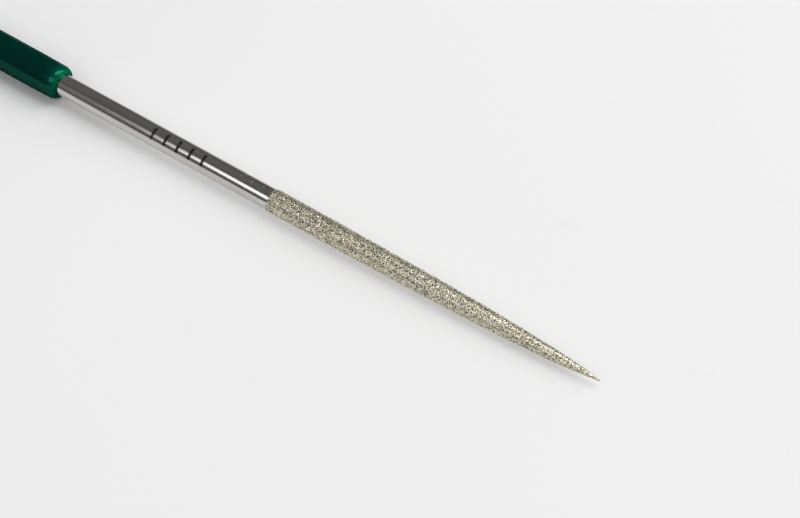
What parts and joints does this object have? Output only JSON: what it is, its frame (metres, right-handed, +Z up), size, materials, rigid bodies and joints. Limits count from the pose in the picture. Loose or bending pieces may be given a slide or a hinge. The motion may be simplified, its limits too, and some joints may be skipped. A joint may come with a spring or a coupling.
{
  "type": "round diamond file",
  "caption": "Round needle file: a slim steel rod with a moulded soft plastic grip at one end and a diamond-grit coat that curves to a fine point at the other.",
  "frame": {"origin": "on the surface that the file lies on, midway along its reach in X and right under its axis", "axes": "+X along the surface towards the file's point, +Z up; the file's own axis lies in the XZ plane and slopes down towards the point by 0.86 degrees, as the file rests on its grip's front lip and on the coat"},
  "size_m": [0.14, 0.0048, 0.0055],
  "materials": {
    "steel": "nickel-bright ground steel with fine lengthwise marks",
    "diamond_grit": "diamond grains held in plated nickel, matt and sparkling",
    "grip_plastic": "glossy soft vinyl, dark green"
  },
  "bodies": {
    "root": {"steel_blank": "steel", "diamond_coat": "diamond_grit", "grip_sleeve": "grip_plastic"}
  },
  "joints": []
}
